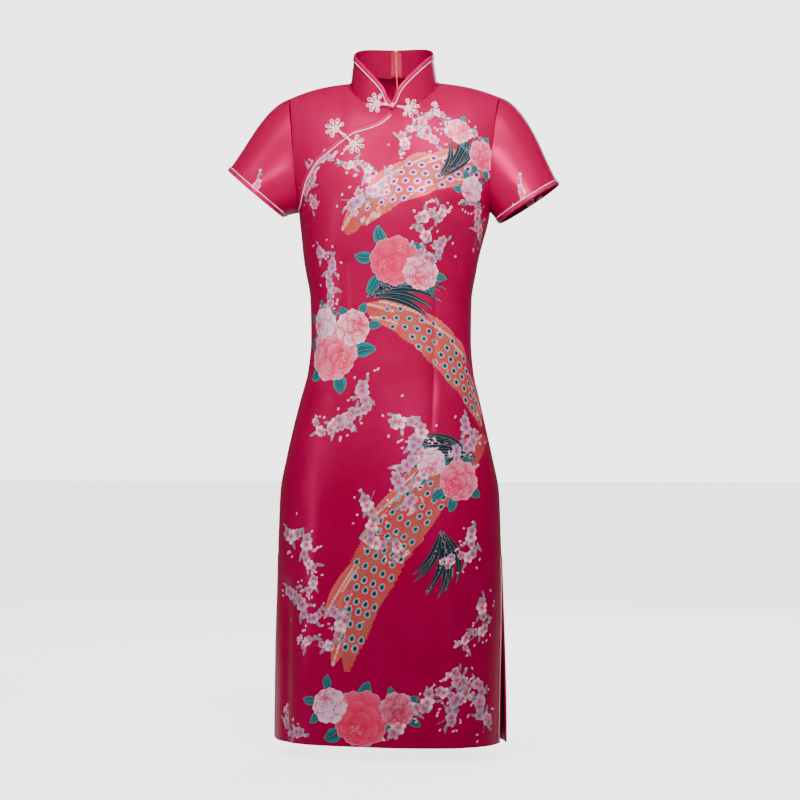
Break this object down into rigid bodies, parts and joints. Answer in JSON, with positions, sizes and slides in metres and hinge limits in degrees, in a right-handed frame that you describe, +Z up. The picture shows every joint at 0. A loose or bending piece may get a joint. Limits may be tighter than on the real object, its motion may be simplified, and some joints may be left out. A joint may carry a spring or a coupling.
{
  "type": "cheongsam",
  "caption": "Knee-length fitted satin cheongsam with a standing collar, short sleeves, a side-closing overlap with frog fastenings, piped edges and side slits.",
  "frame": {"origin": "middle of the neck, level with the points where the shoulder seams meet the collar; the wearer's neck holds the garment here", "axes": "+Z up along the body, the front faces -Y, and -X is the wearer's right"},
  "size_m": [0.5253, 0.2467, 1.0929],
  "materials": {
    "printed_satin": "lustrous crimson satin with a print of peonies, blossom sprays, leaves and feathers",
    "binding_satin": "plain magenta satin",
    "piping": "pale pink-white satin cord",
    "frog_cord": "pale pink-white satin cord",
    "zip_tape": "woven tape",
    "zip_metal": "painted"
  },
  "bodies": {
    "garment": {"front": "printed_satin", "front_upper": "printed_satin", "back_left": "printed_satin", "sleeve_left": "printed_satin", "collar_left": "printed_satin", "back_right": "printed_satin", "sleeve_right": "printed_satin", "collar_right": "printed_satin", "lapel_binding": "binding_satin", "lapel_piping": "piping", "collar_left_binding": "binding_satin", "collar_left_piping": "piping", "cuff_left_binding": "binding_satin", "cuff_left_piping": "piping", "slit_front_left_binding": "binding_satin", "slit_front_left_piping": "piping", "slit_back_left_binding": "binding_satin", "slit_back_left_piping": "piping", "collar_right_binding": "binding_satin", "collar_right_piping": "piping", "cuff_right_binding": "binding_satin", "cuff_right_piping": "piping", "slit_front_right_binding": "binding_satin", "slit_front_right_piping": "piping", "slit_back_right_binding": "binding_satin", "slit_back_right_piping": "piping", "zip_tape_left": "zip_tape", "zip_tape_right": "zip_tape", "zip_slider": "zip_metal", "frog_collar_left": "frog_cord", "frog_collar_right": "frog_cord", "frog_collar_knot": "binding_satin", "frog_lapel_left": "frog_cord", "frog_lapel_right": "frog_cord", "frog_lapel_knot": "binding_satin"},
    "zip_pull": {"zip_pull_tab": "zip_metal"}
  },
  "joints": [
    {"name": "zip_pull_swing", "type": "hinge", "parent": "garment", "child": "zip_pull", "pos_m": [0, 0.04396, 0.05037], "axis": [1, 0, 0], "range_deg": [0, 150]}
  ]
}
